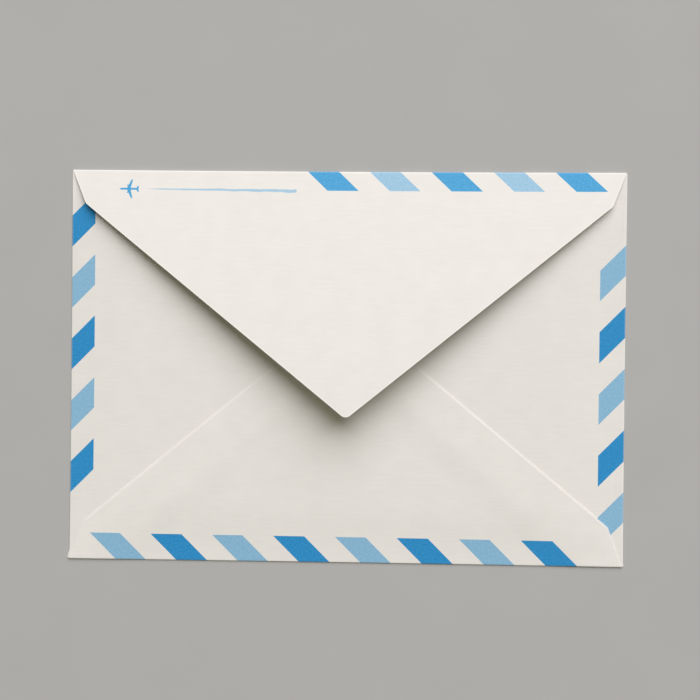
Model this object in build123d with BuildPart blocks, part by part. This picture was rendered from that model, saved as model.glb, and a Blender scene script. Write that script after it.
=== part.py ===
from build123d import *
import os
from math import radians, sin

# Paper envelope of size C6, folded from one sheet and lying on its front panel.
# X runs along its length, Y towards its top fold and Z up. The origin is the centre
# of the front panel's outer face. All sizes are in millimetres.

# Sheet and panel
length = 162.0  # left fold to right fold
height = 114.0  # bottom fold to top fold
paper = 0.15  # thickness of the sheet
pocket_gap = 0.5  # clear space between the front panel and the side flaps

# Side flaps, which lie over the front panel
side_fold_inset = 1.0  # from the corner to where the fold begins
side_apex_gap = 17.0  # from one flap's sharp point to the other's
side_shoulder_run = 13.5  # from the side fold to the shoulder
side_shoulder_rise = 2.0  # from the top or bottom fold to the shoulder
side_apex_radius = 8.0

# Bottom flap, glued over the side flaps
bottom_fold_inset = 1.0
bottom_flap_depth = 74.7  # bottom fold to the flap's sharp point
bottom_shoulder_rise = 11.5  # bottom fold to the shoulder
bottom_shoulder_run = 4.5  # side fold to the shoulder

# Top flap, which stands ajar
top_fold_inset = 0.5
top_flap_depth = 71.8  # top fold to the flap's sharp point, along the sheet
top_shoulder_rise = 9.9  # top fold to the shoulder, along the sheet
top_shoulder_run = 4.5  # side fold to the shoulder
top_fold_radius = 0.5  # inside the fold
fold_tilt = 10.0  # degrees that the flap rises at, beside the fold
point_tilt = 6.0  # degrees that it rises at, at its point

# Both pointed flaps
point_radius = 1.8
shoulder_radius = 2.0

# Folds: each radius is to the middle of the sheet
side_radius = (pocket_gap + paper) / 2
bottom_radius = side_radius + paper / 2
top_radius = top_fold_radius + paper / 2
side_fold_x = length / 2 - side_radius - paper / 2
bottom_fold_y = height / 2 - bottom_radius - paper / 2
top_fold_y = height / 2 - top_radius - paper / 2

# Heights of the middle of the sheet
panel_z = paper / 2
side_z = panel_z + 2 * side_radius
bottom_z = panel_z + 2 * bottom_radius

# The top flap's section is one arc, whose tilt falls from the fold to the point
tilt_drop = fold_tilt - point_tilt
curl_radius = top_flap_depth / radians(tilt_drop)
flap_root_y = top_fold_y + top_radius * sin(radians(fold_tilt))

# The flaps' outlines cut them upright, from past the folds to above the top flap
past_edge = 2.0
cut_height = top_flap_depth


def top_flap_y(distance):
    """Y of the top flap at a distance from its fold, along the sheet."""
    tilt = radians(fold_tilt - tilt_drop * distance / top_flap_depth)
    return flap_root_y - curl_radius * (sin(radians(fold_tilt)) - sin(tilt))


def pointed_outline(fold_x, fold_y, shoulder_x, shoulder_y, point_y):
    """Plan of a pointed flap, with its shoulders and its point rounded."""
    past_y = fold_y + past_edge * (1 if fold_y > point_y else -1)
    with BuildSketch() as outline:
        with BuildLine():
            Polyline(
                (0, past_y),
                (fold_x, past_y),
                (fold_x, fold_y),
                (shoulder_x, shoulder_y),
                (0, point_y),
            )
            mirror(about=Plane.YZ)
        make_face()
        corners = outline.vertices()
        fillet(corners.filter_by_position(Axis.Y, shoulder_y, shoulder_y), shoulder_radius)
        fillet(outline.vertices().filter_by_position(Axis.Y, point_y, point_y), point_radius)
    return outline.sketch


# Right side flap
side_end_y = height / 2 - side_fold_inset
side_shoulder_x = length / 2 - side_shoulder_run
side_shoulder_y = height / 2 - side_shoulder_rise
with BuildPart() as side_flap:
    with BuildSketch(Plane.XZ):
        with BuildLine():
            side_fold = CenterArc((side_fold_x, panel_z + side_radius), side_radius, -90, 180)
            Line(side_fold @ 1, (0, side_z))
        trace(line_width=paper)
    extrude(amount=height / 2, both=True)
    with BuildSketch() as side_outline:
        with BuildLine():
            Polyline(
                (length / 2 + past_edge, 0),
                (length / 2 + past_edge, side_end_y),
                (length / 2, side_end_y),
                (side_shoulder_x, side_shoulder_y),
                (side_apex_gap / 2, 0),
            )
            mirror(about=Plane.XZ)
        make_face()
        fillet(side_outline.vertices().sort_by(Axis.X)[0], side_apex_radius)
    extrude(amount=cut_height, mode=Mode.INTERSECT)

# Bottom flap
bottom_end_x = length / 2 - bottom_fold_inset
with BuildPart() as bottom_flap:
    with BuildSketch(Plane.YZ):
        with BuildLine():
            centre = (-bottom_fold_y, panel_z + bottom_radius)
            bottom_fold = CenterArc(centre, bottom_radius, 90, 180)
            Line(bottom_fold @ 0, (bottom_flap_depth - height / 2, bottom_z))
        trace(line_width=paper)
    extrude(amount=length / 2, both=True)
    with BuildSketch():
        add(
            pointed_outline(
                bottom_end_x,
                -height / 2,
                length / 2 - bottom_shoulder_run,
                bottom_shoulder_rise - height / 2,
                bottom_flap_depth - height / 2,
            )
        )
    extrude(amount=cut_height, mode=Mode.INTERSECT)

# Top flap
top_end_x = length / 2 - top_fold_inset
with BuildPart() as top_flap:
    with BuildSketch(Plane.YZ):
        with BuildLine():
            centre = (top_fold_y, panel_z + top_radius)
            top_fold = CenterArc(centre, top_radius, -90, 180 - fold_tilt)
            JernArc(top_fold @ 1, top_fold % 1, curl_radius, tilt_drop)
        trace(line_width=paper)
    extrude(amount=length / 2, both=True)
    with BuildSketch():
        add(
            pointed_outline(
                top_end_x,
                height / 2,
                length / 2 - top_shoulder_run,
                top_flap_y(top_shoulder_rise),
                top_flap_y(top_flap_depth),
            )
        )
    extrude(amount=cut_height, mode=Mode.INTERSECT)

# Front panel, flat out to its corners between the ends of the folds, with the four flaps
with BuildPart() as envelope:
    with BuildSketch():
        with BuildLine():
            Polyline(
                (0, top_fold_y),
                (top_end_x, top_fold_y),
                (top_end_x, height / 2),
                (length / 2, height / 2),
                (length / 2, side_end_y),
                (side_fold_x, side_end_y),
                (side_fold_x, -side_end_y),
                (length / 2, -side_end_y),
                (length / 2, -height / 2),
                (bottom_end_x, -height / 2),
                (bottom_end_x, -bottom_fold_y),
                (0, -bottom_fold_y),
            )
            mirror(about=Plane.YZ)
        make_face()
    extrude(amount=paper)
    add(side_flap.part)
    mirror(side_flap.part, about=Plane.YZ)
    add(bottom_flap.part)
    add(top_flap.part)

os.makedirs("parts", exist_ok=True)
envelope.part.label = "envelope"
export_step(envelope.part, "parts/envelope.step")
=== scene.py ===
"""A paper envelope as it looks: its folded sheet, the striped print on it and a plain studio."""

from math import ceil, cos, hypot, pi, radians, sin, tan

import bmesh
import bpy
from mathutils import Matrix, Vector, noise


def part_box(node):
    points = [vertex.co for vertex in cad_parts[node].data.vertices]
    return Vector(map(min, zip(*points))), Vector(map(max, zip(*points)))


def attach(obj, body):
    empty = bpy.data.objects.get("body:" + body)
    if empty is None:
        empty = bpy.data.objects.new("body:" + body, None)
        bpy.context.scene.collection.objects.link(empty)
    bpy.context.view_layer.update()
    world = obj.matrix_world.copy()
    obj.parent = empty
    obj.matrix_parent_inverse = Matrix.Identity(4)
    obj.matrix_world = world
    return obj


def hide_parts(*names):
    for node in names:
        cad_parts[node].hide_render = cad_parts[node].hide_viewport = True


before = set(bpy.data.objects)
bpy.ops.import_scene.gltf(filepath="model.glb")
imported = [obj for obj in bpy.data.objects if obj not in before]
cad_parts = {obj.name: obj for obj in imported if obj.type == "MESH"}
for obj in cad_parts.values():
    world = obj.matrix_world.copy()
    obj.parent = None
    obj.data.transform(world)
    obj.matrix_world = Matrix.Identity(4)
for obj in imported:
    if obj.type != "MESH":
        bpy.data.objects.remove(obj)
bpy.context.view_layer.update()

bl_info = {
    "name": "Paper Envelope",
    "version": (1, 0, 0),
    "blender": (4, 5, 0),
    "location": "3D View > Sidebar > Envelope",
    "description": "Folds a striped paper envelope and lights it on a pale table",
    "category": "Add Mesh",
}

MM = 0.001
NODE = "envelope"
SHEET_MAP = "sheet"
_, cad_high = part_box(NODE)
HALF_LENGTH = cad_high.x
HALF_HEIGHT = cad_high.y

# Pointed flaps: in from the side folds, and along the sheet from their own folds
SHOULDER_INSET = 4.5 * MM
TOP_SHOULDER = 9.9 * MM
TOP_DEPTH = 71.8 * MM
BOTTOM_SHOULDER = 11.5 * MM
BOTTOM_DEPTH = 74.7 * MM
POINT_RADIUS = 1.8 * MM
POINT_SWAY = 0.33 * MM
SHOULDER_RADIUS = 2.0 * MM

# Side flaps
SIDE_SHOULDER_INSET = 13.5 * MM
SIDE_SHOULDER_RISE = 2.0 * MM
SIDE_APEX = 8.5 * MM
APEX_RADIUS = 8.0 * MM

# Folds: radii to the middle of the sheet, how far a fold stops from the corners, and the
# fine slits that part the side folds from them
SIDE_RADIUS = 0.13 * MM
BOTTOM_RADIUS = 0.2 * MM
TOP_RADIUS = 0.3 * MM
TOP_INSET = 0.2 * MM
BOTTOM_INSET = 0.4 * MM
FOLD_STEPS = 8
CORNER_SLIT = 0.03 * MM
SLIT_MARGIN = 0.025 * MM

# Layers: how far the corners' pinch reaches, how much flatter it presses the top fold,
# the pocket's gap at its folds, how far in it opens, and how far the bottom flap sinks
CORNER_PINCH = 14 * MM
TOP_PINCH = 0.15 * MM
PRESSED_GAP = 0.11 * MM
FOLD_EASE = 18 * MM
SINK = 0.02 * MM
SINK_WIDTH = 8 * MM

# The long waves in the paper, the ripples in its glued seams, and the noise's layer
WAVE_LENGTH = 34 * MM
COCKLE_LENGTH = 6 * MM
WAVE_LAYER = 3.7

# Print: how far the border reaches past each fold, on the front and on the flaps, how the
# bottom one narrows to the right, how much closer the right side's stripes stand, and how
# soft the print's edges are
FRONT_BAND = 7.0 * MM
LEFT_BAND = 6.9 * MM
RIGHT_BAND = 7.5 * MM
TOP_BAND = 5.9 * MM
BOTTOM_BAND = 7.6 * MM
BOTTOM_TAPER = 0.003
RIGHT_SQUEEZE = 1.008
SOFT = 0.05 * MM
FINE_SOFT = 0.06 * MM

# The aeroplane and its trail: along the sheet, and up from the top fold
AEROPLANE_ALONG = -63.98 * MM
AEROPLANE_UP = 5.78 * MM
TRAIL_START = -59.6 * MM
TRAIL_END = -14.9 * MM
TRAIL_UP = 5.75 * MM

# Gummed strip inside the top flap
GUM_START = 13.5 * MM
GUM_INSET = 2.0 * MM
GUM_WIDTH = 10.0 * MM

# Table, lights and camera
TABLE_RADIUS = 3.0
TABLE_DROP = 0.03 * MM
KEY_SIZE = 7.0
KEY_DISTANCE = 6.0
KEY_ELEVATION = radians(44)
KEY_BEARING = radians(16)
KEY_COLOUR = (0.93, 0.93, 0.98)
FILL_COLOUR = (1.0, 1.01, 0.74)
BACKDROP = (0.44, 0.44, 0.43)
LENS = 51.8
CAMERA_PLACE = (9.06 * MM, 7.0 * MM, 293.34 * MM)
CAMERA_TURN = (radians(-0.363), radians(1.557), radians(0.595))


class EnvelopeSheet(bpy.types.PropertyGroup):
    """Sizes of the folded sheet."""

    thickness: bpy.props.FloatProperty(
        name="Paper thickness",
        description="Thickness of the sheet",
        default=0.15 * MM,
        unit="LENGTH",
    )
    pocket_gap: bpy.props.FloatProperty(
        name="Pocket gap",
        description="Clear space inside the side folds",
        default=0.5 * MM,
        unit="LENGTH",
    )
    puff: bpy.props.FloatProperty(
        name="Puff",
        description="How much fuller the pocket is in its middle",
        default=0.5 * MM,
        unit="LENGTH",
    )
    fold_tilt: bpy.props.FloatProperty(
        name="Tilt at fold",
        description="How steeply the top flap leaves its fold",
        default=radians(10.0),
        subtype="ANGLE",
    )
    point_tilt: bpy.props.FloatProperty(
        name="Tilt at point",
        description="How steeply the top flap rises at its point, which is less than at its fold",
        default=radians(6.4),
        subtype="ANGLE",
    )
    wave: bpy.props.FloatProperty(
        name="Waviness",
        description="Height of the gentle waves in the paper",
        default=0.10 * MM,
        unit="LENGTH",
    )
    cockle: bpy.props.FloatProperty(
        name="Glue cockle",
        description="Height of the ripples along the glued seams",
        default=0.018 * MM,
        unit="LENGTH",
    )
    spacing: bpy.props.FloatProperty(
        name="Mesh spacing",
        description="Size of the sheet's faces",
        default=1.3 * MM,
        unit="LENGTH",
    )


class EnvelopePrint(bpy.types.PropertyGroup):
    """Sizes and colours of the paper and its print."""

    stripe: bpy.props.FloatProperty(
        name="Stripe width",
        description="Width of a stripe, along the fold",
        default=8.9 * MM,
        unit="LENGTH",
    )
    pitch: bpy.props.FloatProperty(
        name="Stripe pitch",
        description="From one stripe to the next",
        default=18.0 * MM,
        unit="LENGTH",
    )
    spread: bpy.props.FloatProperty(
        name="Dark ink spread",
        description="How much wider the dark stripes print",
        default=0.2 * MM,
        unit="LENGTH",
    )
    paper: bpy.props.FloatVectorProperty(
        name="Paper",
        description="Colour of the paper",
        default=(0.80, 0.762, 0.712),
        subtype="COLOR",
    )
    dark_ink: bpy.props.FloatVectorProperty(
        name="Dark ink",
        description="Colour of the dark stripes",
        default=(0.009, 0.275, 0.608),
        subtype="COLOR",
    )
    light_ink: bpy.props.FloatVectorProperty(
        name="Light ink",
        description="Colour of the light stripes",
        default=(0.290, 0.502, 0.652),
        subtype="COLOR",
    )
    dark_flap_ink: bpy.props.FloatVectorProperty(
        name="Dark ink on top flap",
        description="Colour of the top flap's dark stripes and its aeroplane, printed more thinly",
        default=(0.067, 0.384, 0.700),
        subtype="COLOR",
    )
    light_flap_ink: bpy.props.FloatVectorProperty(
        name="Light ink on top flap",
        description="Colour of the top flap's light stripes and its trail, printed more thinly",
        default=(0.382, 0.579, 0.708),
        subtype="COLOR",
    )


class EnvelopeStage(bpy.types.PropertyGroup):
    """The table and its light."""

    table: bpy.props.FloatVectorProperty(
        name="Table",
        description="Colour of the table",
        default=(0.44, 0.43, 0.415),
        subtype="COLOR",
    )
    key_power: bpy.props.FloatProperty(
        name="Key light",
        description="Power of the large soft lamp",
        default=570.0,
        unit="POWER",
    )
    fill: bpy.props.FloatProperty(
        name="Fill",
        description="Strength of the even light all round",
        default=0.19,
    )


# ---------------------------------------------------------------- shape of the folded sheet


def smooth(value):
    """0 below 0, 1 above 1, and an even ramp between them."""
    value = max(0.0, min(1.0, value))
    return value * value * (3.0 - 2.0 * value)


class Folding:
    """Where each point of the flat sheet lies once its four flaps are folded over.

    The flat sheet's points are (u, v). Inside the four folds they are the panel's own x and y.
    """

    def __init__(self, sheet):
        self.sheet = sheet
        self.paper = sheet.thickness
        edge = self.paper / 2
        self.side_start = HALF_LENGTH - edge - SIDE_RADIUS
        self.side_end = self.side_start + pi * SIDE_RADIUS
        self.bottom_start = HALF_HEIGHT - edge - BOTTOM_RADIUS
        self.bottom_end = self.bottom_start + pi * BOTTOM_RADIUS
        self.bottom_fold = self.bottom_start + self.bottom_end - HALF_HEIGHT
        self.top_turn = pi - sheet.fold_tilt
        self.top_start = HALF_HEIGHT - edge - TOP_RADIUS
        self.top_end = self.top_start + self.top_turn * TOP_RADIUS
        self.curl = TOP_DEPTH / (sheet.fold_tilt - sheet.point_tilt)
        self.side_crease = (self.side_start + self.side_end) / 2
        self.bottom_crease = (self.bottom_start + self.bottom_end) / 2
        self.top_crease = self.top_start + pi / 2 * TOP_RADIUS

    def wave(self, x, y, length=WAVE_LENGTH):
        """Gentle noise about 0."""
        return noise.noise(Vector((x / length, y / length, WAVE_LAYER)))

    def pinch(self, x, y):
        """0 at the corners, where the layers are pressed together, and 1 away from them."""
        return smooth(hypot(HALF_LENGTH - abs(x), HALF_HEIGHT - abs(y)) / CORNER_PINCH)

    def gap(self, x, y):
        """Clear space in the pocket, which is pressed almost flat along its folds."""
        fold = min(HALF_LENGTH - abs(x), HALF_HEIGHT - abs(y))
        opened = PRESSED_GAP + (self.sheet.pocket_gap - PRESSED_GAP) * smooth(fold / FOLD_EASE)
        middle = max(0.0, (1 - (x / HALF_LENGTH) ** 2) * (1 - (y / HALF_HEIGHT) ** 2))
        return opened + middle * (self.sheet.puff + self.sheet.wave * self.wave(x, y))

    def side_cover(self, x, y):
        """How far inside a side flap's slanting edges a point lies."""
        run = HALF_LENGTH - SIDE_SHOULDER_INSET - SIDE_APEX
        rise = HALF_HEIGHT - SIDE_SHOULDER_RISE
        return ((abs(x) - SIDE_APEX) * rise - abs(y) * run) / hypot(run, rise)

    def side_height(self, x, y):
        """Height of a side flap's middle, over the pocket."""
        return 1.5 * self.paper + self.gap(x, y)

    def bottom_height(self, x, y):
        """Height of the bottom flap's middle, on the side flaps and a little lower between them."""
        cover = self.side_cover(x, y)
        held = smooth(1 + cover / SINK_WIDTH)
        glued = smooth(cover / SINK_WIDTH) * self.pinch(x, y)
        ripple = self.sheet.cockle * glued * self.wave(x, y, COCKLE_LENGTH)
        return self.side_height(x, y) + held * self.paper - (1 - held) * SINK + ripple

    def turned(self, start, lift, turn):
        """Where a fold has got to after a turn: how far across, and how high."""
        radius = lift / 2
        return start + radius * sin(turn), self.paper / 2 + radius * (1 - cos(turn))

    def side_flap(self, u, v):
        """A point of a side flap or of its fold."""
        side = 1 if u > 0 else -1
        lift = self.side_height(HALF_LENGTH, v) - self.paper / 2
        start = HALF_LENGTH - self.paper / 2 - lift / 2
        if abs(u) < self.side_end:
            turn = pi * (abs(u) - self.side_start) / (self.side_end - self.side_start)
            x, z = self.turned(start, lift, turn)
            return Vector((side * x, v, z))
        x = side * (start - (abs(u) - self.side_end))
        return Vector((x, v, self.side_height(x, v)))

    def bottom_flap(self, u, v):
        """A point of the bottom flap or of its fold."""
        lift = self.bottom_height(u, -HALF_HEIGHT) - self.paper / 2
        start = HALF_HEIGHT - self.paper / 2 - lift / 2
        if -v < self.bottom_end:
            turn = pi * (-v - self.bottom_start) / (self.bottom_end - self.bottom_start)
            y, z = self.turned(start, lift, turn)
            return Vector((u, -y, z))
        y = -(start - (-v - self.bottom_end))
        return Vector((u, y, self.bottom_height(u, y)))

    def top_flap(self, u, v):
        """A point of the top flap, which is one long arc, or of its fold."""
        lift = 2 * TOP_RADIUS - TOP_PINCH * (1 - self.pinch(u, HALF_HEIGHT))
        start = HALF_HEIGHT - self.paper / 2 - lift / 2
        if v < self.top_end:
            y, z = self.turned(start, lift, (v - self.top_start) / TOP_RADIUS)
            return Vector((u, y, z))
        y, z = self.turned(start, lift, self.top_turn)
        distance = v - self.top_end
        first = self.sheet.fold_tilt
        tilt = first - (first - self.sheet.point_tilt) * distance / TOP_DEPTH
        y -= self.curl * (sin(first) - sin(tilt))
        z += self.curl * (cos(tilt) - cos(first))
        z += self.sheet.wave * self.wave(u, v) * smooth(distance / WAVE_LENGTH)
        return Vector((u + POINT_SWAY * distance / TOP_DEPTH, y, z))

    def place(self, u, v):
        """The folded place of a flat point, in the middle of the sheet's thickness."""
        if v > self.top_start and abs(u) < HALF_LENGTH - TOP_INSET / 2:
            return self.top_flap(u, v)
        if v < -self.bottom_start and abs(u) < HALF_LENGTH - BOTTOM_INSET / 2:
            return self.bottom_flap(u, v)
        if abs(u) > self.side_start and abs(v) < self.top_start + SLIT_MARGIN:
            return self.side_flap(u, v)
        return Vector((u, v, self.paper / 2))


def settled(point):
    """Draws the folds in, most between the corners, and bumps the two lower corners outwards."""
    left_bump, left_rise = 0.7 * MM, 3.2 * MM
    right_bump, right_rise = 0.12 * MM, 2 * MM
    reach = 5 * MM
    up = point.y + HALF_HEIGHT
    left = left_bump * smooth(1 - up / left_rise)
    left *= smooth(1 - (point.x + HALF_LENGTH) / reach)
    right = right_bump * smooth(1 - up / right_rise)
    right *= smooth(1 - (HALF_LENGTH - point.x) / reach)
    along_x, along_y = point.x / HALF_LENGTH, point.y / HALF_HEIGHT
    corner_draw = 0.30 * MM
    side_draw = 0.16 * MM if point.x < 0 else 0.10 * MM
    end_draw = 0.20 * MM if point.y > 0 else 0.12 * MM
    drawn_x = (corner_draw + side_draw * (1 - along_y**2)) * along_x
    drawn_y = end_draw * (1 - along_x**2) * along_y
    return point + Vector((right - left - drawn_x, -drawn_y, 0))


def flat_corners(folding):
    """Corners of the flat sheet, each with its radius, clockwise from the top flap's point."""
    corner_x = HALF_LENGTH - folding.paper / 2
    corner_y = HALF_HEIGHT - folding.paper / 2
    top_x = HALF_LENGTH - TOP_INSET
    bottom_x = HALF_LENGTH - BOTTOM_INSET
    side_y = folding.top_start
    low_side_y = -folding.bottom_start
    shoulder_x = HALF_LENGTH - SHOULDER_INSET
    side_fold = folding.side_start + folding.side_end
    side_shoulder_x = side_fold - (HALF_LENGTH - SIDE_SHOULDER_INSET)
    side_shoulder_y = HALF_HEIGHT - SIDE_SHOULDER_RISE
    right = [
        (shoulder_x, folding.top_end + TOP_SHOULDER, SHOULDER_RADIUS),
        (top_x, folding.top_crease, 0),
        (top_x, side_y, 0),
        (top_x + CORNER_SLIT, corner_y, 0),
        (corner_x, corner_y, 0),
        (corner_x, side_y + CORNER_SLIT, 0),
        (folding.side_start, side_y, 0),
        (folding.side_crease, side_y, 0),
        (side_shoulder_x, side_shoulder_y, SHOULDER_RADIUS),
        (side_fold - SIDE_APEX, 0, APEX_RADIUS),
        (side_shoulder_x, -side_shoulder_y, SHOULDER_RADIUS),
        (folding.side_crease, low_side_y, 0),
        (folding.side_start, low_side_y, 0),
        (corner_x, low_side_y - CORNER_SLIT, 0),
        (corner_x, -corner_y, 0),
        (bottom_x + CORNER_SLIT, -corner_y, 0),
        (bottom_x, low_side_y, 0),
        (bottom_x, -folding.bottom_crease, 0),
        (shoulder_x, -(folding.bottom_fold + BOTTOM_SHOULDER), SHOULDER_RADIUS),
    ]
    left = [(-x, y, radius) for x, y, radius in reversed(right)]
    top = (0, folding.top_end + TOP_DEPTH, POINT_RADIUS)
    bottom = (0, -(folding.bottom_fold + BOTTOM_DEPTH), POINT_RADIUS)
    return [top] + right + [bottom] + left


def round_corner(bm, vert, radius, segments=8):
    """Rounds one corner of the flat outline."""
    ahead, behind = (edge.other_vert(vert).co - vert.co for edge in vert.link_edges)
    reach = radius / tan(ahead.angle(behind) / 2)
    bmesh.ops.bevel(
        bm,
        geom=[vert],
        offset=reach,
        segments=segments,
        profile=0.5,
        affect="VERTICES",
        material=-1,
    )


def cut_lines(marks, spacing):
    """The marks, with even cuts no further apart than the spacing between them."""
    lines = []
    for low, high in zip(marks, marks[1:]):
        count = ceil((high - low) / spacing)
        lines += [low + (high - low) * step / count for step in range(count)]
    return lines


def fold_marks(start, end, far):
    """Cuts from the middle of the panel over a fold to the far end of its flap."""
    fold = [start + (end - start) * step / FOLD_STEPS for step in range(FOLD_STEPS + 1)]
    close, wide = 0.4 * MM, 1.1 * MM
    return [0.0, start - wide, start - close] + fold + [end + close, end + wide, far]


def cut_grid(bm, lines, axis):
    """Cuts the flat sheet right through at each line across an axis."""
    normal = Vector((0, 0, 0))
    normal[axis] = 1
    for line in lines:
        bmesh.ops.bisect_plane(
            bm,
            geom=bm.verts[:] + bm.edges[:] + bm.faces[:],
            dist=1e-7,
            plane_co=normal * line,
            plane_no=normal,
        )


def folded_sheet(sheet):
    """Mesh of the sheet: cut out flat, divided, mapped flat and then folded."""
    folding = Folding(sheet)
    bm = bmesh.new()
    corners = flat_corners(folding)
    verts = [bm.verts.new((x, y, 0)) for x, y, _ in corners]
    bm.faces.new(verts)
    for vert, (_, _, radius) in zip(verts, corners):
        if radius:
            round_corner(bm, vert, radius)
    far_u = max(vert.co.x for vert in bm.verts)
    top_v = max(vert.co.y for vert in bm.verts)
    bottom_v = -min(vert.co.y for vert in bm.verts)
    side_marks = fold_marks(folding.side_start, folding.side_end, far_u)
    top_marks = fold_marks(folding.top_start, folding.top_end, top_v)
    bottom_marks = fold_marks(folding.bottom_start, folding.bottom_end, bottom_v)
    side = cut_lines(side_marks, sheet.spacing)
    top = cut_lines(top_marks, sheet.spacing)
    bottom = cut_lines(bottom_marks, sheet.spacing)
    cut_grid(bm, side + [-line for line in side[1:]], 0)
    cut_grid(bm, top + [-line for line in bottom[1:]], 1)
    layer = bm.loops.layers.uv.new(SHEET_MAP)
    for face in bm.faces:
        face.smooth = True
        for loop in face.loops:
            loop[layer].uv = loop.vert.co.xy
    for vert in bm.verts:
        vert.co = settled(folding.place(vert.co.x, vert.co.y))
    mesh = bpy.data.meshes.new("folded_sheet")
    bm.to_mesh(mesh)
    bm.free()
    return mesh


def thicken(piece, thickness):
    """Gives the sheet its thickness, with the inside and the cut edges in finishes of their own."""
    solid = piece.modifiers.new("thickness", "SOLIDIFY")
    solid.thickness = thickness
    solid.offset = 0
    solid.material_offset = 1
    solid.material_offset_rim = 2
    graph = bpy.context.evaluated_depsgraph_get()
    mesh = bpy.data.meshes.new_from_object(piece.evaluated_get(graph))
    piece.modifiers.clear()
    flat = piece.data
    piece.data = mesh
    bpy.data.meshes.remove(flat)
    bm = bmesh.new()
    bm.from_mesh(mesh)
    # An edge between two finishes stays sharp
    for edge in bm.edges:
        edge.smooth = len({face.material_index for face in edge.link_faces}) == 1
    bm.to_mesh(mesh)
    bm.free()


# ---------------------------------------------------------------- finishes


class Nodes:
    """Short calls that add shader nodes to a tree."""

    def __init__(self, tree):
        self.tree = tree

    def add(self, kind, **settings):
        """A new node of that kind, with its settings."""
        node = self.tree.nodes.new(kind)
        for name, value in settings.items():
            setattr(node, name, value)
        return node

    def put(self, socket, value):
        """Links another node's output to a socket, or sets the socket's own value."""
        if isinstance(value, bpy.types.NodeSocket):
            self.tree.links.new(value, socket)
        else:
            socket.default_value = value

    def math(self, operation, *values):
        node = self.add("ShaderNodeMath", operation=operation)
        for socket, value in zip(node.inputs, values):
            self.put(socket, value)
        return node.outputs[0]

    def ramp(self, value, zero, one):
        """0 where the value is at zero, 1 where it is at one."""
        node = self.add("ShaderNodeMapRange")
        for name, number in (("Value", value), ("From Min", zero), ("From Max", one)):
            self.put(node.inputs[name], number)
        return node.outputs["Result"]

    def inside(self, value, low, high, soft):
        """1 between low and high, with soft borders."""
        half = soft / 2
        rise = self.ramp(self.math("SUBTRACT", value, low), -half, half)
        fall = self.ramp(self.math("SUBTRACT", high, value), -half, half)
        return self.math("MULTIPLY", rise, fall)

    def most(self, *values):
        """The largest of the values."""
        total = values[0]
        for value in values[1:]:
            total = self.math("MAXIMUM", total, value)
        return total

    def mix(self, factor, first, second):
        node = self.add("ShaderNodeMix", data_type="RGBA")
        self.put(node.inputs["Factor"], factor)
        self.put(node.inputs[6], first)
        self.put(node.inputs[7], second)
        return node.outputs[2]

    def noise(self, place, size, detail=2.0, roughness=0.5):
        """Noise about 0.5, whose features are of that size."""
        node = self.add("ShaderNodeTexNoise")
        self.put(node.inputs["Vector"], place)
        self.put(node.inputs["Scale"], 1 / size)
        self.put(node.inputs["Detail"], detail)
        self.put(node.inputs["Roughness"], roughness)
        return node.outputs["Fac"]

    def stretched(self, place, scale, shift=(0, 0, 0)):
        """The place scaled and shifted, which stretches a noise along an axis scaled down."""
        node = self.add("ShaderNodeMapping")
        self.put(node.inputs["Vector"], place)
        node.inputs["Scale"].default_value = scale
        node.inputs["Location"].default_value = shift
        return node.outputs["Vector"]


def rgba(colour, factor=1.0):
    """A colour made lighter or darker by a factor, with its alpha."""
    return (*(channel * factor for channel in colour), 1.0)


def paper_material(name, colour):
    """A matt paper material, with its nodes, its shader and its place on the flat sheet."""
    material = bpy.data.materials.new(name)
    material.use_nodes = True
    material.diffuse_color = rgba(colour)
    tree = material.node_tree
    nodes = Nodes(tree)
    shader = tree.nodes["Principled BSDF"]
    shader.inputs["Roughness"].default_value = 0.72
    shader.inputs["Specular IOR Level"].default_value = 0.3
    place = nodes.add("ShaderNodeUVMap", uv_map=SHEET_MAP).outputs["UV"]
    return material, nodes, shader, place


def flat_place(nodes, place):
    """The two coordinates of a place on the flat sheet."""
    split = nodes.add("ShaderNodeSeparateXYZ")
    nodes.put(split.inputs[0], place)
    return split.outputs["X"], split.outputs["Y"]


def paper_surface(nodes, place, colour):
    """Colour and height of bare paper: cloudy pulp, faint lines along the sheet, and fibres."""
    cloud = nodes.noise(place, 7 * MM, 3)
    streak = nodes.noise(nodes.stretched(place, (0.12, 1, 1)), 0.7 * MM, 2)
    fibre = nodes.noise(nodes.stretched(place, (0.5, 1, 1)), 0.22 * MM, 3, 0.65)
    shade = nodes.math("MULTIPLY_ADD", cloud, 0.5, nodes.math("MULTIPLY", streak, 0.5))
    tone = nodes.mix(nodes.ramp(shade, 0.36, 0.64), rgba(colour, 0.972), rgba(colour, 1.012))
    tone = nodes.mix(nodes.ramp(fibre, 0.62, 0.80), tone, rgba(colour, 0.93))
    height = nodes.math("MULTIPLY_ADD", streak, 0.6, nodes.math("MULTIPLY", fibre, 0.5))
    return tone, height


def bump(nodes, shader, height, depth=0.012 * MM):
    """Raises the surface in the material by the height."""
    node = nodes.add("ShaderNodeBump")
    node.inputs["Strength"].default_value = 1.0
    node.inputs["Distance"].default_value = depth
    nodes.put(node.inputs["Height"], height)
    nodes.put(shader.inputs["Normal"], node.outputs["Normal"])


def stripes(nodes, along, middle, width, pitch):
    """Even stripes, one every second pitch, with one of them about the middle."""
    local = nodes.math("SUBTRACT", along, middle - width / 2)
    local = nodes.math("FLOORED_MODULO", local, 2 * pitch)
    return nodes.inside(local, 0.0, width, SOFT)


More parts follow.
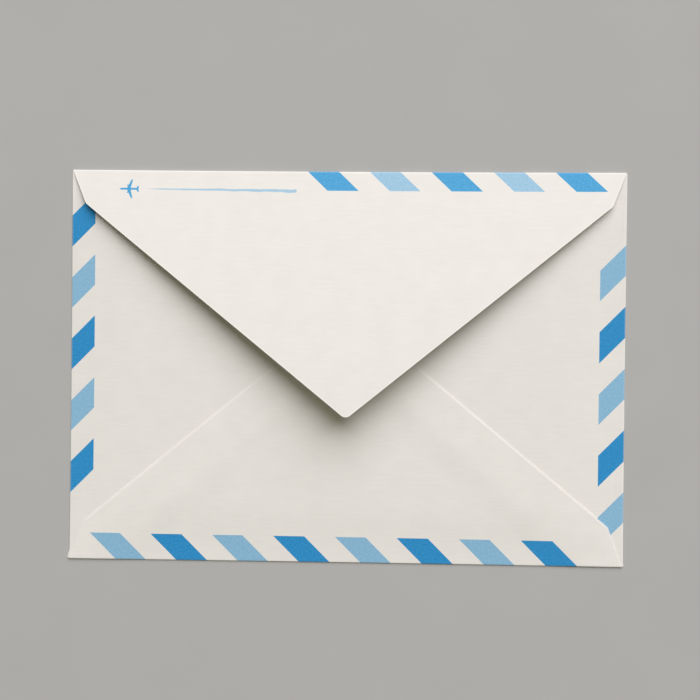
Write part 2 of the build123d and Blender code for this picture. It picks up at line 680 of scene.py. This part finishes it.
def striped_band(nodes, ink, across, along, widths, limits, middle):
    """Dark and light masks of one side's border. Across runs from the fold onto its flap."""
    flap_width, front_width = widths
    band = nodes.inside(across, -front_width, flap_width, SOFT)
    band = nodes.math("MULTIPLY", band, nodes.inside(along, *limits, SOFT))
    wide = ink.stripe + ink.spread
    dark = nodes.math("MULTIPLY", band, stripes(nodes, along, middle, wide, ink.pitch))
    beside = middle + ink.pitch
    light = nodes.math("MULTIPLY", band, stripes(nodes, along, beside, ink.stripe, ink.pitch))
    return dark, light


def border_masks(nodes, folding, ink, u, v):
    """Masks of the dark and the light stripes round all four folds."""
    left_across = nodes.math("SUBTRACT", -folding.side_crease, u)
    left_along = nodes.math("SUBTRACT", v, left_across)
    right_across = nodes.math("SUBTRACT", u, folding.side_crease)
    right_along = nodes.math("MULTIPLY", nodes.math("ADD", v, right_across), RIGHT_SQUEEZE)
    top_across = nodes.math("SUBTRACT", v, folding.top_crease)
    top_along = nodes.math("SUBTRACT", u, top_across)
    bottom_across = nodes.math("SUBTRACT", -folding.bottom_crease, v)
    bottom_along = nodes.math("ADD", u, bottom_across)
    bottom_band = nodes.math("MULTIPLY_ADD", u, -BOTTOM_TAPER, BOTTOM_BAND)
    # The last two columns are where a row begins and ends, and the middle of one dark stripe
    bands = [
        (left_across, left_along, (LEFT_BAND, FRONT_BAND), (-40 * MM, 45 * MM), 2.98 * MM),
        (right_across, right_along, (RIGHT_BAND, FRONT_BAND), (-46 * MM, 38 * MM), 14.05 * MM),
        (top_across, top_along, (TOP_BAND, FRONT_BAND), (-14 * MM, 71 * MM), 28.75 * MM),
        (bottom_across, bottom_along, (bottom_band, FRONT_BAND), (-69 * MM, 70 * MM), 27.38 * MM),
    ]
    masks = [striped_band(nodes, ink, *band) for band in bands]
    return nodes.most(*(dark for dark, _ in masks)), nodes.most(*(light for _, light in masks))


def swept(nodes, along, off, root, sweep, span):
    """A pair of swept surfaces: root and sweep each give a leading and a trailing edge."""
    lead = nodes.math("MULTIPLY_ADD", off, sweep[0], root[0])
    trail = nodes.math("MULTIPLY_ADD", off, sweep[1], root[1])
    chord = nodes.inside(along, lead, trail, FINE_SOFT)
    return nodes.math("MULTIPLY", chord, nodes.inside(off, -span, span, FINE_SOFT))


def aeroplane_mask(nodes, folding, u, v):
    """A small airliner seen from above, with its nose to the left."""
    nose, tail_end = -2.85 * MM, 2.75 * MM
    half_body = 0.29 * MM
    engine_off, half_engine = 1.05 * MM, 0.17 * MM
    along = nodes.math("SUBTRACT", u, AEROPLANE_ALONG)
    middle = folding.top_crease + AEROPLANE_UP
    off = nodes.math("ABSOLUTE", nodes.math("SUBTRACT", v, middle))
    taper = nodes.math("MULTIPLY", nodes.math("SUBTRACT", along, nose), 0.5)
    girth = nodes.math("MINIMUM", taper, half_body)
    body = nodes.ramp(nodes.math("SUBTRACT", girth, off), -FINE_SOFT / 2, FINE_SOFT / 2)
    body = nodes.math("MULTIPLY", body, nodes.inside(along, nose, tail_end, FINE_SOFT))
    wings = swept(nodes, along, off, (-0.74 * MM, 0.42 * MM), (0.50, 0.24), 2.86 * MM)
    tail = swept(nodes, along, off, (2.0 * MM, 2.78 * MM), (0.62, 0.12), 0.95 * MM)
    engine = nodes.math("SUBTRACT", off, engine_off)
    engine = nodes.inside(engine, -half_engine, half_engine, FINE_SOFT)
    cowl = nodes.inside(along, -0.62 * MM, 0.1 * MM, FINE_SOFT)
    engine = nodes.math("MULTIPLY", engine, cowl)
    return nodes.most(body, wings, tail, engine)


def trail_mask(nodes, folding, place, u, v):
    """A brushed line behind the aeroplane, thin and faint at its start and blunt at its end."""
    slow = nodes.math("SUBTRACT", nodes.noise(nodes.stretched(place, (1, 0, 1)), 7 * MM, 2), 0.5)
    quick = nodes.noise(nodes.stretched(place, (1, 0, 1), (0.4, 0, 0)), 3.5 * MM, 2)
    grown = nodes.ramp(u, TRAIL_START, TRAIL_END)
    sway = nodes.math("MULTIPLY", nodes.math("MULTIPLY", slow, grown), 1.0 * MM)
    middle = nodes.math("ADD", sway, folding.top_crease + TRAIL_UP)
    middle = nodes.math("MULTIPLY_ADD", grown, 0.25 * MM, middle)
    half = nodes.math("MULTIPLY_ADD", grown, 0.34 * MM, 0.13 * MM)
    rough = nodes.math("MULTIPLY", nodes.math("SUBTRACT", quick, 0.5), grown)
    half = nodes.math("MULTIPLY_ADD", rough, 0.5 * MM, half)
    off = nodes.math("ABSOLUTE", nodes.math("SUBTRACT", v, middle))
    line = nodes.ramp(nodes.math("SUBTRACT", half, off), -0.08 * MM, 0.08 * MM)
    fade = nodes.ramp(u, TRAIL_START, TRAIL_START + 5 * MM)
    line = nodes.math("MULTIPLY", line, fade)
    return nodes.math("MULTIPLY", line, nodes.ramp(u, TRAIL_END + SOFT, TRAIL_END - SOFT))


def fold_mask(nodes, folding, u, v, reach):
    """1 along the four creases, fading out over the reach to each side."""
    creases = []
    for value, crease in (
        (u, folding.side_crease),
        (u, -folding.side_crease),
        (v, folding.top_crease),
        (v, -folding.bottom_crease),
    ):
        away = nodes.math("ABSOLUTE", nodes.math("SUBTRACT", value, crease))
        creases.append(nodes.ramp(away, reach, 0.2 * reach))
    return nodes.most(*creases)


def crease_shade_streaks(nodes, folding, place, u):
    """Painted shade: faint darker streaks along the inner side of the side folds, standing in for
    the shade in small creases beside them.
    """
    inward = nodes.math("SUBTRACT", nodes.math("ABSOLUTE", u), folding.side_crease)
    past_fold = nodes.ramp(inward, 0.3 * MM, 0.7 * MM)
    fading = nodes.ramp(inward, 4 * MM, 1 * MM)
    near = nodes.math("MULTIPLY", past_fold, fading)
    streak = nodes.noise(nodes.stretched(place, (1, 0.04, 1)), 0.5 * MM, 2)
    # How strongly the painted crease shade darkens the paper
    marks = nodes.math("MULTIPLY", nodes.ramp(streak, 0.45, 0.7), 0.25)
    return nodes.math("MULTIPLY", near, marks)


def edge_distance(nodes, u, v, start, end):
    """How far a point lies from the straight line of a flap's edge."""
    run, rise = end[0] - start[0], end[1] - start[1]
    length = hypot(run, rise)
    offset = (start[0] * rise - start[1] * run) / length
    level = nodes.math("MULTIPLY_ADD", v, run / length, offset)
    return nodes.math("ABSOLUTE", nodes.math("MULTIPLY_ADD", u, -rise / length, level))


def past_crease(nodes, v, crease):
    """1 on the flap beyond a crease, and on the flap across from it."""
    return nodes.math("GREATER_THAN", nodes.math("ABSOLUTE", v), abs(crease))


def rim_masks(nodes, folding, u, v):
    """Masks of the pointed flaps' cut edges, of the glued overlaps and of the whole top flap."""
    shoulder_x = HALF_LENGTH - SHOULDER_INSET
    top, bottom = folding.top_crease, -folding.bottom_crease
    top_point = (0, folding.top_end + TOP_DEPTH)
    top_shoulder = (shoulder_x, folding.top_end + TOP_SHOULDER)
    bottom_point = (0, -folding.bottom_fold - BOTTOM_DEPTH)
    bottom_shoulder = (shoulder_x, -folding.bottom_fold - BOTTOM_SHOULDER)
    # The bottom flap's short edges count as a little way off, so they show only faintly
    outlines = (
        (top_point, top_shoulder, top, 0),
        (bottom_point, bottom_shoulder, bottom, 0.3 * MM),
    )
    rims = []
    for point, shoulder, crease, least in outlines:
        long_edge = edge_distance(nodes, u, v, point, shoulder)
        short_edge = edge_distance(nodes, u, v, shoulder, (HALF_LENGTH - TOP_INSET, crease))
        short_edge = nodes.math("MAXIMUM", short_edge, least)
        rim = nodes.ramp(nodes.math("MINIMUM", long_edge, short_edge), 0.45 * MM, 0.1 * MM)
        rims.append(nodes.math("MULTIPLY", rim, past_crease(nodes, v, crease)))
    seam = edge_distance(nodes, u, v, bottom_point, bottom_shoulder)
    overlap = nodes.ramp(seam, 13 * MM, 9.5 * MM)
    overlap = nodes.math("MULTIPLY", overlap, past_crease(nodes, v, bottom))
    return nodes.most(*rims), overlap, nodes.math("GREATER_THAN", v, top)


def paper_with_overlaps_and_painted_light(nodes, folding, ink, place, u, v):
    """Colour and height of the outer paper: lighter at its glued overlaps, with painted highlights
    along its creases and cut edges and painted shade in streaks beside the side folds.

    The masks of the creases and of the top flap come with them.
    """
    tone, height = paper_surface(nodes, place, ink.paper)
    # A lighter paper for the glued overlaps and for the painted highlights, and a darker one for
    # the painted crease shade
    pale, crease_shade_tone = rgba(ink.paper, 1.12), rgba(ink.paper, 0.86)
    crease = fold_mask(nodes, folding, u, v, 0.40 * MM)
    # Painted shade of the small creases beside the side folds
    tone = nodes.mix(crease_shade_streaks(nodes, folding, place, u), tone, crease_shade_tone)
    rim, overlap, on_top = rim_masks(nodes, folding, nodes.math("ABSOLUTE", u), v)
    patches = nodes.ramp(nodes.noise(place, 5 * MM, 3), 0.2, 0.6)
    overlap = nodes.math("MULTIPLY", overlap, patches)
    # Painted highlight: the creases and the cut edges are drawn lighter, most strongly along the
    # top flap's edges
    highlight_strength = nodes.math("MULTIPLY_ADD", on_top, 0.45, 0.2)
    highlight_strength = nodes.math("MAXIMUM", highlight_strength, crease)
    highlight_strength = nodes.math("MULTIPLY", nodes.most(crease, rim), highlight_strength)
    tone = nodes.mix(nodes.math("MULTIPLY", overlap, 0.22), tone, pale)
    tone = nodes.mix(highlight_strength, tone, pale)
    press = nodes.math("MULTIPLY_ADD", on_top, 5.0, -5.0)
    height = nodes.math("MULTIPLY_ADD", rim, press, height)
    return tone, height, crease, on_top


def grainy_inks(nodes, ink, grain, on_top):
    """The dark and the light ink, which the grain darkens, with lighter inks on the top flap."""
    flecks = nodes.math("MULTIPLY", grain, 0.36)
    dark = nodes.mix(on_top, rgba(ink.dark_ink), rgba(ink.dark_flap_ink))
    light = nodes.mix(on_top, rgba(ink.light_ink), rgba(ink.light_flap_ink))
    dark = nodes.mix(flecks, dark, rgba(ink.dark_ink, 0.5))
    light = nodes.mix(flecks, light, rgba(ink.dark_ink))
    return dark, light


def printed_material(folding, ink):
    """Outer side of the sheet: paper with the striped border, the aeroplane and its trail."""
    material, nodes, shader, place = paper_material("printed_paper", ink.paper)
    u, v = flat_place(nodes, place)
    tone, height, crease, on_top = paper_with_overlaps_and_painted_light(nodes, folding, ink, place, u, v)
    dark, light = border_masks(nodes, folding, ink, u, v)
    trail = nodes.math("MULTIPLY", trail_mask(nodes, folding, place, u, v), 0.9)
    dark = nodes.most(dark, aeroplane_mask(nodes, folding, u, v))
    light = nodes.most(light, trail)
    grain = nodes.ramp(nodes.noise(place, 0.6 * MM, 3, 0.7), 0.3, 0.7)
    dark_ink, light_ink = grainy_inks(nodes, ink, grain, on_top)
    cover = nodes.math("MULTIPLY_ADD", grain, 0.04, 0.96)
    # Thinner ink along the creases: partly worn print, and partly the painted highlight there
    # showing on the stripes
    cover = nodes.math("MULTIPLY_ADD", crease, -0.2, cover)
    tone = nodes.mix(nodes.math("MULTIPLY", light, cover), tone, light_ink)
    tone = nodes.mix(nodes.math("MULTIPLY", dark, cover), tone, dark_ink)
    nodes.put(shader.inputs["Base Color"], tone)
    bump(nodes, shader, height)
    return material


def inner_material(folding, ink):
    """Inner side of the sheet: bare paper, with a band of dried gum inside the top flap's edges."""
    material, nodes, shader, place = paper_material("inner_paper", ink.paper)
    u, v = flat_place(nodes, place)
    tone, height = paper_surface(nodes, place, ink.paper)
    slope = (TOP_DEPTH - TOP_SHOULDER) / (HALF_LENGTH - SHOULDER_INSET)
    point_v = folding.top_end + TOP_DEPTH
    drop = nodes.math("MULTIPLY", nodes.math("ABSOLUTE", u), slope)
    inward = nodes.math("SUBTRACT", nodes.math("SUBTRACT", point_v, drop), v)
    inward = nodes.math("DIVIDE", inward, hypot(1, slope))
    gum = nodes.inside(inward, GUM_INSET, GUM_INSET + GUM_WIDTH, 0.4 * MM)
    gum_start = folding.top_end + GUM_START
    gum = nodes.math("MULTIPLY", gum, nodes.ramp(v, gum_start, gum_start + 0.5 * MM))
    tone = nodes.mix(nodes.math("MULTIPLY", gum, 0.35), tone, rgba((0.76, 0.70, 0.58)))
    nodes.put(shader.inputs["Base Color"], tone)
    nodes.put(shader.inputs["Roughness"], nodes.math("MULTIPLY_ADD", gum, -0.38, 0.74))
    bump(nodes, shader, height)
    return material


def edge_material(ink):
    """Cut edges: the sheet's bare white core."""
    material, nodes, shader, place = paper_material("cut_edge", ink.paper)
    rough = nodes.noise(place, 0.3 * MM, 3)
    low, high = rgba(ink.paper, 0.98), rgba(ink.paper, 1.1)
    nodes.put(shader.inputs["Base Color"], nodes.mix(rough, low, high))
    return material


def table_material(colour):
    """A plain matt table top with hardly any clouding."""
    material = bpy.data.materials.new("table")
    material.use_nodes = True
    nodes = Nodes(material.node_tree)
    shader = material.node_tree.nodes["Principled BSDF"]
    shader.inputs["Roughness"].default_value = 0.85
    shader.inputs["Specular IOR Level"].default_value = 0.2
    place = nodes.add("ShaderNodeTexCoord").outputs["Object"]
    cloud = nodes.noise(place, 25 * MM, 4)
    nodes.put(
        shader.inputs["Base Color"],
        nodes.mix(nodes.ramp(cloud, 0.3, 0.7), rgba(colour, 0.985), rgba(colour, 1.015)),
    )
    return material


# ---------------------------------------------------------------- operators and panel


class OBJECT_OT_envelope_sheet(bpy.types.Operator):
    """Fold the printed sheet into the envelope"""

    bl_idname = "object.envelope_sheet"
    bl_label = "Envelope Sheet"

    def execute(self, context):
        sheet = context.scene.envelope_sheet
        ink = context.scene.envelope_print
        folding = Folding(sheet)
        piece = bpy.data.objects.new("envelope_sheet", folded_sheet(sheet))
        context.scene.collection.objects.link(piece)
        materials = (
            printed_material(folding, ink),
            inner_material(folding, ink),
            edge_material(ink),
        )
        for material in materials:
            piece.data.materials.append(material)
        thicken(piece, sheet.thickness)
        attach(piece, "root")
        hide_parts(NODE)
        return {"FINISHED"}


class OBJECT_OT_envelope_stage(bpy.types.Operator):
    """Set the table, the soft light and the camera that looks down on the envelope"""

    bl_idname = "object.envelope_stage"
    bl_label = "Envelope Stage"

    def execute(self, context):
        stage = context.scene.envelope_stage
        self.add_table(context.scene, stage)
        self.add_lights(context.scene, stage)
        self.add_camera(context.scene)
        context.scene.view_settings.view_transform = "Standard"
        return {"FINISHED"}

    def add_table(self, scene, stage):
        """A round table top, just under the envelope."""
        bm = bmesh.new()
        bmesh.ops.create_circle(bm, cap_ends=True, segments=96, radius=TABLE_RADIUS)
        bmesh.ops.translate(bm, vec=(0, 0, -TABLE_DROP), verts=bm.verts)
        mesh = bpy.data.meshes.new("table")
        bm.to_mesh(mesh)
        bm.free()
        table = bpy.data.objects.new("table", mesh)
        mesh.materials.append(table_material(stage.table))
        scene.collection.objects.link(table)

    def add_lights(self, scene, stage):
        """A wide lamp over the top fold's right end, and an even light all round."""
        lamp = bpy.data.lights.new("key", "AREA")
        lamp.shape = "DISK"
        lamp.size = KEY_SIZE
        lamp.color = KEY_COLOUR
        lamp.energy = stage.key_power
        key = bpy.data.objects.new("key", lamp)
        level = Vector((sin(KEY_BEARING), cos(KEY_BEARING), 0)) * cos(KEY_ELEVATION)
        away = level + Vector((0, 0, sin(KEY_ELEVATION)))
        key.location = away * KEY_DISTANCE
        key.rotation_euler = away.to_track_quat("Z", "Y").to_euler()
        scene.collection.objects.link(key)
        world = bpy.data.worlds.new("studio")
        world.use_nodes = True
        scene.world = world
        nodes = Nodes(world.node_tree)
        shown = nodes.add("ShaderNodeLightPath").outputs["Is Camera Ray"]
        around = nodes.mix(shown, rgba(FILL_COLOUR), rgba(BACKDROP))
        background = world.node_tree.nodes["Background"]
        nodes.put(background.inputs["Color"], around)
        nodes.put(background.inputs["Strength"], nodes.math("MAXIMUM", shown, stage.fill))

    def add_camera(self, scene):
        """A camera that looks almost straight down."""
        lens = bpy.data.cameras.new("camera")
        lens.sensor_width = 36.0
        lens.lens = LENS
        lens.clip_start = 0.01
        camera = bpy.data.objects.new("camera", lens)
        camera.location = CAMERA_PLACE
        camera.rotation_euler = CAMERA_TURN
        scene.collection.objects.link(camera)
        scene.camera = camera


class VIEW3D_PT_envelope(bpy.types.Panel):
    """Sizes and colours of the envelope, with buttons that make it"""

    bl_label = "Paper Envelope"
    bl_idname = "VIEW3D_PT_envelope"
    bl_space_type = "VIEW_3D"
    bl_region_type = "UI"
    bl_category = "Envelope"

    def draw(self, context):
        groups = (
            (context.scene.envelope_sheet, "object.envelope_sheet"),
            (context.scene.envelope_print, None),
            (context.scene.envelope_stage, "object.envelope_stage"),
        )
        for group, operator in groups:
            box = self.layout.box()
            for name in group.bl_rna.properties.keys():
                if name not in ("rna_type", "name"):
                    box.prop(group, name)
            if operator:
                box.operator(operator)


CLASSES = (
    EnvelopeSheet,
    EnvelopePrint,
    EnvelopeStage,
    OBJECT_OT_envelope_sheet,
    OBJECT_OT_envelope_stage,
    VIEW3D_PT_envelope,
)
GROUPS = {
    "envelope_sheet": EnvelopeSheet,
    "envelope_print": EnvelopePrint,
    "envelope_stage": EnvelopeStage,
}


def register():
    for cls in CLASSES:
        bpy.utils.register_class(cls)
    for name, group in GROUPS.items():
        setattr(bpy.types.Scene, name, bpy.props.PointerProperty(type=group))


def unregister():
    for name in GROUPS:
        delattr(bpy.types.Scene, name)
    for cls in reversed(CLASSES):
        bpy.utils.unregister_class(cls)


def main():
    register()
    bpy.ops.object.envelope_stage()
    bpy.ops.object.envelope_sheet()


if __name__ == "__main__":
    main()
